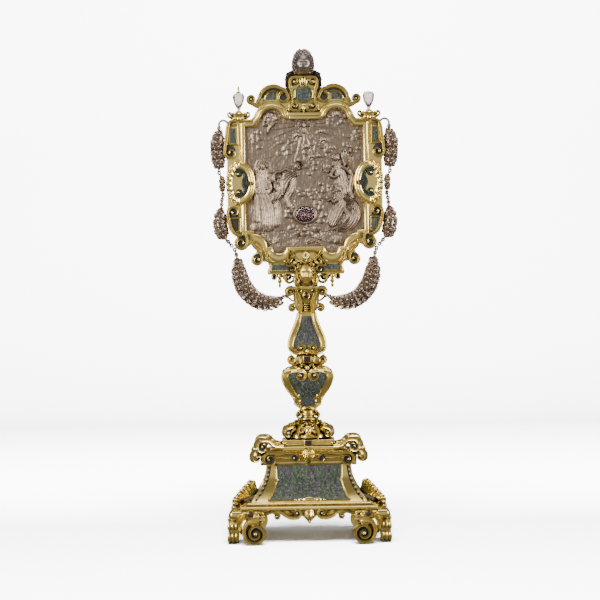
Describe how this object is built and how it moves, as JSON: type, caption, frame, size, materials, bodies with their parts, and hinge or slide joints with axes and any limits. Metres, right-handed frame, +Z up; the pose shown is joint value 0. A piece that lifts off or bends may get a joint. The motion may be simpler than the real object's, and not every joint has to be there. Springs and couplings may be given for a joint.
{
  "type": "standing reliquary",
  "caption": "Standing reliquary: scrolled gilt frame round a silver relief with a small crystal window, on a stem of inlaid balusters and a stepped base with scroll feet.",
  "frame": {"origin": "on the ground under the middle of the base, where the scroll feet stand", "axes": "+Z up along the stem; the relief and the crystal window face -Y; +X is the right of the front view"},
  "size_m": [0.2268, 0.15, 0.5853],
  "materials": {
    "gilt_bronze": "fire-gilt bronze, bright on the ridges, dark brown patina in the recesses",
    "chased_silver": "chased silver, warm grey, tarnished brown in the ground",
    "dark_silver": "oxidised silver, dark in the hollows",
    "mottled_stone": "polished, mottled dark green and purple-grey",
    "garnet": "very dark red cut stone",
    "rock_crystal": "clear polished rock crystal",
    "relic_silk": "faded silk behind the window"
  },
  "bodies": {
    "root": {"back_body_stone": "mottled_stone", "back_heart_baluster_stone": "mottled_stone", "back_left_bead_strand": "dark_silver", "back_left_cornice_scroll": "gilt_bronze", "back_left_foot": "gilt_bronze", "back_pear_baluster_stone": "mottled_stone", "back_plate": "gilt_bronze", "back_right_bead_strand": "dark_silver", "back_right_cornice_scroll": "gilt_bronze", "back_right_foot": "gilt_bronze", "base_body": "gilt_bronze", "collar": "gilt_bronze", "collar_gem": "garnet", "cornice": "gilt_bronze", "crest": "gilt_bronze", "crest_middle_stone": "mottled_stone", "frame": "gilt_bronze", "front_body_stone": "mottled_stone", "front_heart_baluster_stone": "mottled_stone", "front_left_bead_strand": "dark_silver", "front_left_cornice_scroll": "gilt_bronze", "front_left_foot": "gilt_bronze", "front_pear_baluster_stone": "mottled_stone", "front_right_bead_strand": "dark_silver", "front_right_cornice_scroll": "gilt_bronze", "front_right_foot": "gilt_bronze", "heart_baluster": "gilt_bronze", "herm_capital": "gilt_bronze", "leafy_knop": "gilt_bronze", "left_body_stone": "mottled_stone", "left_bottom_box_stone": "mottled_stone", "left_crest_fan_stone": "mottled_stone", "left_crystal_urn": "rock_crystal", "left_lower_garland": "dark_silver", "left_medallion_inlay": "mottled_stone", "left_shell_console": "gilt_bronze", "left_swag": "dark_silver", "left_upper_bracket_stone": "mottled_stone", "left_upper_garland": "dark_silver", "left_urn_pin": "gilt_bronze", "mask": "gilt_bronze", "neck_cup": "gilt_bronze", "pear_baluster": "gilt_bronze", "platform": "gilt_bronze", "relic_window": "rock_crystal", "right_body_stone": "mottled_stone", "right_bottom_box_stone": "mottled_stone", "right_crest_fan_stone": "mottled_stone", "right_crystal_urn": "rock_crystal", "right_lower_bracket_stone": "mottled_stone", "right_lower_garland": "dark_silver", "right_medallion_inlay": "mottled_stone", "right_shell_console": "gilt_bronze", "right_swag": "dark_silver", "right_upper_bracket_stone": "mottled_stone", "right_upper_garland": "dark_silver", "silver_relief": "chased_silver", "step_block": "gilt_bronze", "step_gem": "garnet", "winged_head": "dark_silver"}
  },
  "joints": []
}
